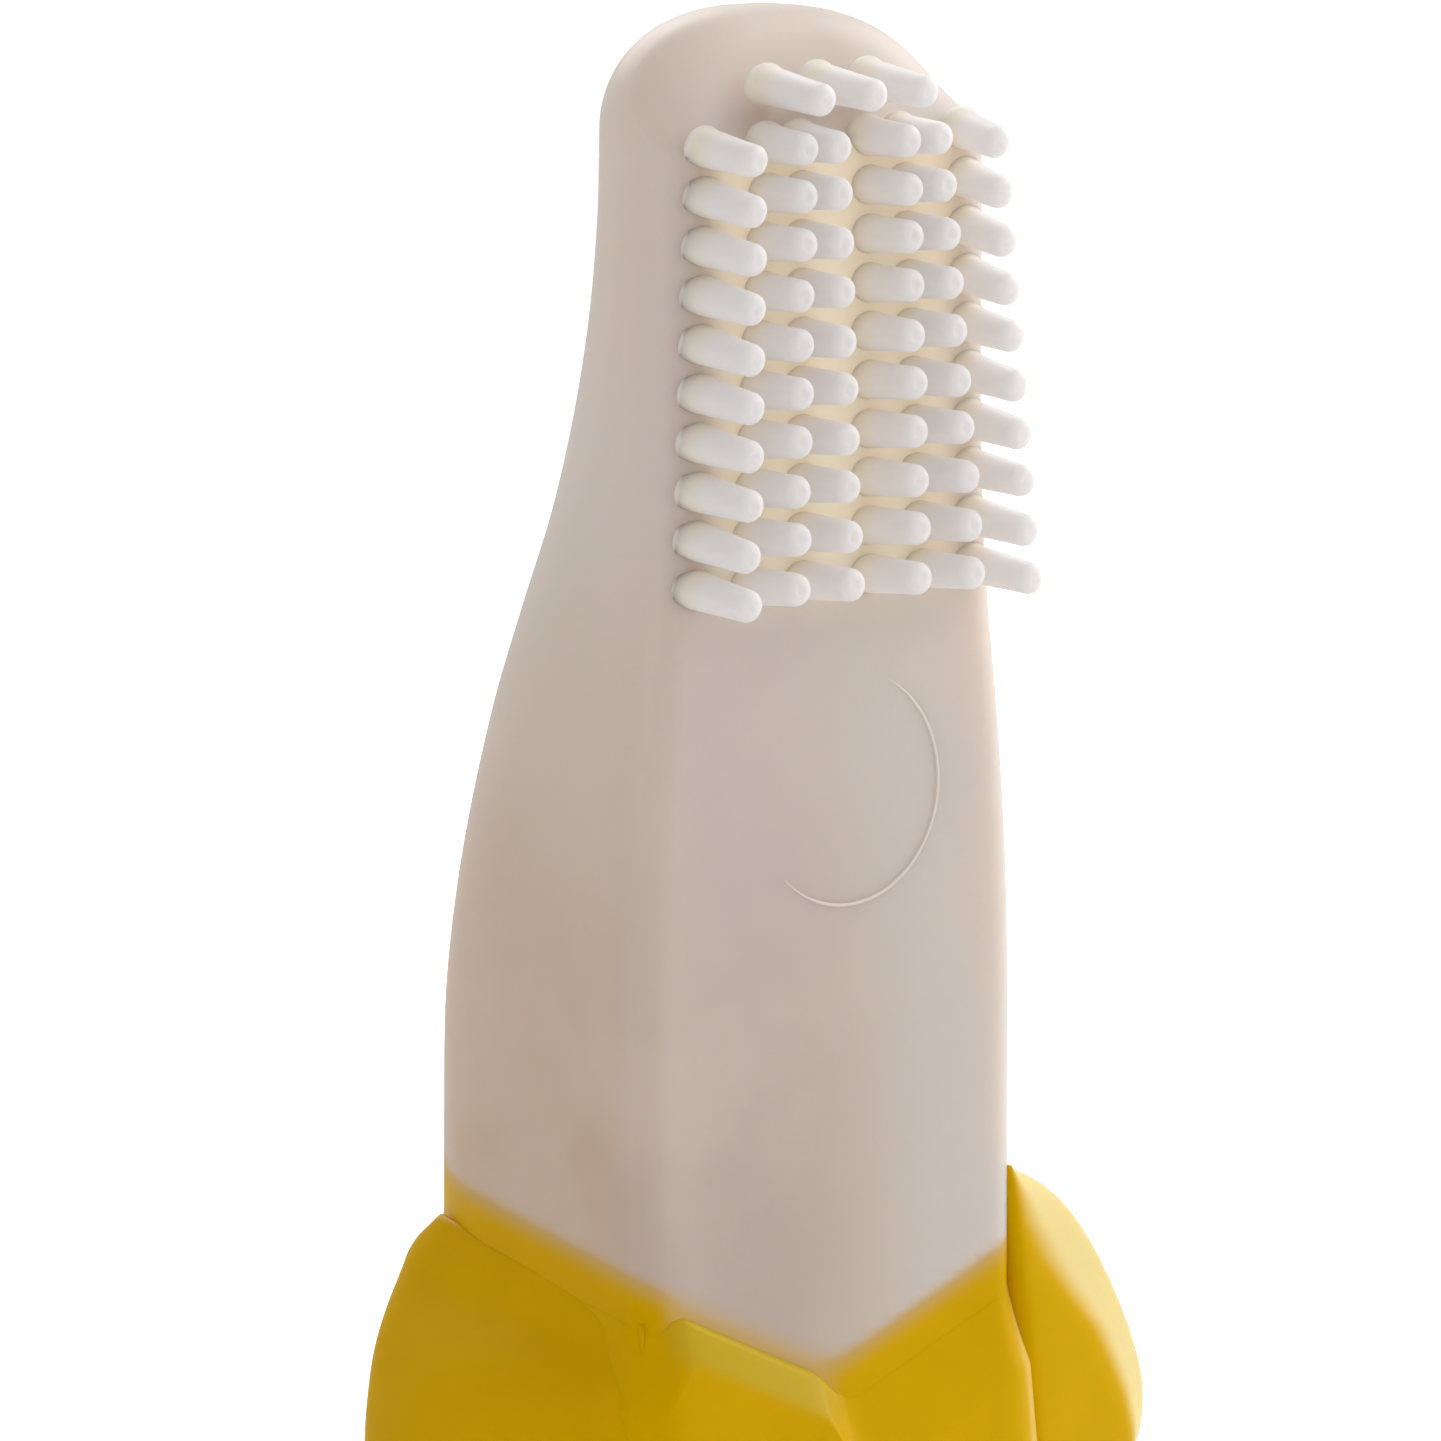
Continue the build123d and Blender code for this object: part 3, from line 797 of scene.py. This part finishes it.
def corner_start(z, inner, front_y):
    """Point on the collar's front corner from which a petal's face leaves, or free of it near the tip."""
    corner_reach = CORNER_RADIUS + linear_between(COLLAR_PROUD, z) - 0.04
    slant = math.sqrt(0.5)
    start_x = HALF_WIDTH - CORNER_RADIUS + slant * corner_reach
    start_y = FRONT_Y + CORNER_RADIUS - slant * corner_reach
    loose = smoothstep(6.0, 2.0, z)
    return start_x + (inner + 0.1 - start_x) * loose, start_y + (front_y - start_y) * loose


def right_petal_outline(z):
    """Section of the right petal: flat front facet, slanting thin rim and round back."""
    reach, radius, front_y, back_y, inner = smooth_between(PETAL_STATIONS, z)
    start_x, start_y = corner_start(z, inner, front_y)
    facet = linear_between(RIGHT_FACET, z)
    facet = min(max(facet, start_x + 0.05), reach - 0.1)
    rim_y = front_y + RIM_DEPTH * min(1.0, (back_y - front_y) / 9)
    points = [(min(inner, start_x - 0.3), start_y + 0.5), (start_x, start_y), (facet, front_y)]
    steps = 40
    for i in range(steps + 1):
        y = rim_y + (back_y - rim_y) * i / steps
        across = radius ** 2 - (y - PETAL_CENTRE[1]) ** 2
        round_x = PETAL_CENTRE[0] + math.sqrt(max(across, 0.0))
        points.append((max(min(reach, round_x), inner + 0.05), y))
    points.append((inner, back_y))
    return points


def left_petal_outline(z):
    """Section of the left petal, mirrored to the right: a flank that carries on from the collar's corner."""
    wide_x, wide_y, pull_x, inner = smooth_between(LEFT_STATIONS, z)
    front_y = smooth_between(PETAL_STATIONS, z)[2]
    start_x, start_y = corner_start(z, inner, front_y)
    points = [(min(inner, start_x - 0.3), start_y + 0.5), (start_x, start_y)]
    pull_y = max(LEFT_PULL_Y, start_y + 0.3)
    steps = 36
    for i in range(1, steps + 1):
        t = i / steps
        a, b, c = (1 - t) ** 2, 2 * t * (1 - t), t ** 2
        points.append((a * start_x + b * pull_x + c * wide_x, a * start_y + b * pull_y + c * wide_y))
    tail = LEFT_TAIL * min(1.0, 0.3 + (wide_x - inner) / 2)
    tail_steps = 12
    for i in range(1, tail_steps + 1):
        a = math.radians(90 * i / tail_steps)
        points.append((inner + (wide_x - inner) * math.cos(a), wide_y + tail * math.sin(a)))
    return points


def petal_ring(z, side):
    """Closed section of a petal at height z, starting at the inner front corner."""
    shape = right_petal_outline(z) if side > 0 else left_petal_outline(z)
    return [(side * x, y) for x, y in relaxed(evenly(shape, PETAL_POINTS), 3)]


def build_petal(name, node, side, material):
    """One soft petal that leaves the collar's shoulder and curls outward to a rounded free tip."""
    top, tip = PETAL_STATIONS[0][0], PETAL_STATIONS[-1][0]
    rings = []
    for i in range(PETAL_RINGS):
        z = top + (tip - top) * i / (PETAL_RINGS - 1)
        share = smoothstep(top - PETAL_DROP_REACH, top, z)
        ring = []
        for x, y in petal_ring(z, side):
            drop = max(top - edge_height(-HALF_WIDTH, y) + EDGE_OVERLAP, 0.0) if side < 0 else 0.0
            ring.append((x, y, z - drop * share))
        rings.append(ring)
    points, faces = skin(rings)
    if side < 0:
        faces = [face[::-1] for face in faces]
    petal = new_object(name, points, faces)
    # Mask of the painted pale light along the right petal's thin outer rim.
    rim = []
    for x, y, z in points:
        reach = smooth_between(PETAL_STATIONS, z)[0]
        facet = linear_between(RIGHT_FACET, z)
        out = smoothstep(facet - 0.15, facet + 0.45 * (reach - facet), abs(x))
        rim.append(out * (1 - smoothstep(*PALE_RIM_Y, y)) if side > 0 else 0.0)
    add_attribute(petal, "rim", rim)
    add_attribute(petal, "bevel", [0.0] * len(points))
    petal.data.materials.append(material)
    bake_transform(petal)
    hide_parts(node)
    return petal


# ------------------------------------------------------------------ assemble
dice = random.Random(11)
white = white_silicone()
bristle_white = bristle_silicone()
yellow = yellow_silicone()

sleeve = build_sleeve(white)
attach(sleeve, "brush_body")
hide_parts("finger_sleeve")

witness = build_witness_ring(witness_silicone())
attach(witness, "brush_body")

collar = build_collar(yellow)
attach(collar, "brush_body")
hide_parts("peel_collar")

for node, side in (("left_petal", -1), ("right_petal", 1)):
    build_petal(node + "_skin", node, side, yellow)

for index in range(FULL_ROWS + 1):
    node = f"bristle_row_{index + 1:02d}"
    low, high = [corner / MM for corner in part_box(node)]
    root_z = (low.z + high.z) / 2 + ROOT_RAISE
    if index == 0:
        length = TOP_ROW_LENGTH + TOP_ROW_SETBACK
        places = [(x, tip_across(x, 0, length), FRONT_Y + TOP_ROW_SETBACK, root_z) for x in TOP_ROW_COLUMNS]
    else:
        along = (index - 1) / (FULL_ROWS - 1)
        length = FRONT_Y - low.y - OUTER_COLUMN_EXTRA
        roots = [a + (b - a) * along for a, b in BRISTLE_COLUMNS]
        places = [(x, tip_across(x, along, length), FRONT_Y, root_z) for x in roots]
    build_row(f"bristles_{index + 1:02d}", node, places, length, bristle_white, dice)


# ------------------------------------------------------------------ floor, light and camera
def build_floor():
    """Large pale floor with a softly rising edge far from the object."""
    half_size, flat_radius, steps = 3.0, 2.0, 24
    points, faces = [], []
    for i in range(steps + 1):
        for j in range(steps + 1):
            x, y = (2 * i / steps - 1) * half_size, (2 * j / steps - 1) * half_size
            far = max(math.hypot(x, y) - flat_radius, 0.0)
            points.append((x / MM, y / MM, 0.25 * far * far / MM))
    for i in range(steps):
        for j in range(steps):
            a = i * (steps + 1) + j
            faces.append((a, a + steps + 1, a + steps + 2, a + 1))
    floor = new_object("floor", points, faces)
    floor.data.materials.append(floor_material())


def area_light(name, place, size, power, colour):
    """Round soft light, turned towards the middle of the brush."""
    light = bpy.data.lights.new(name, "AREA")
    light.shape = "DISK"
    light.size = size
    light.energy = power
    light.color = colour
    lamp = bpy.data.objects.new(name, light)
    bpy.context.scene.collection.objects.link(lamp)
    lamp.location = place
    lamp.rotation_mode = "QUATERNION"
    lamp.rotation_quaternion = (Vector(LIGHT_TARGET) - Vector(place)).to_track_quat("-Z", "Y")


def build_lights():
    """Pale surroundings, broad lights from the right and behind, and weak fills from the front and left."""
    world = bpy.data.worlds.new("pale_studio")
    world.use_nodes = True
    background = world.node_tree.nodes["Background"]
    background.inputs["Color"].default_value = (1.0, 0.99, 0.98, 1)
    background.inputs["Strength"].default_value = 0.45
    bpy.context.scene.world = world
    area_light("window", (0.30, -0.04, 0.20), 0.30, 0.75, (1.0, 0.98, 0.97))
    area_light("back_window", (0.12, 0.32, 0.26), 0.26, 0.5, (1.0, 0.98, 0.95))
    area_light("front_fill", (0.16, -0.40, 0.22), 0.40, 0.29, (1.0, 0.97, 0.95))
    area_light("left_fill", (-0.36, 0.04, 0.12), 0.30, 0.145, (1.0, 0.94, 0.86))


def build_camera():
    """Camera in front, to the left of the bristles and a little above."""
    a, e = math.radians(VIEW_AZIMUTH), math.radians(VIEW_ELEVATION)
    back = Vector((math.sin(a) * math.cos(e), -math.cos(a) * math.cos(e), math.sin(e)))
    right = Vector((math.cos(a), math.sin(a), 0))
    up = back.cross(right)
    data = bpy.data.cameras.new("camera")
    data.sensor_width = SENSOR_WIDTH
    data.lens = SENSOR_WIDTH * VIEW_DISTANCE / VIEW_WIDTH
    data.clip_start, data.clip_end = 0.01, 20.0
    camera = bpy.data.objects.new("camera", data)
    bpy.context.scene.collection.objects.link(camera)
    aim = right * VIEW_AIM_RIGHT + up * VIEW_AIM_UP
    camera.location = (aim + back * VIEW_DISTANCE) * MM
    camera.rotation_mode = "QUATERNION"
    camera.rotation_quaternion = (-back).to_track_quat("-Z", "Y")
    bpy.context.scene.camera = camera


build_floor()
build_lights()
build_camera()
bpy.context.scene.view_settings.view_transform = "Standard"
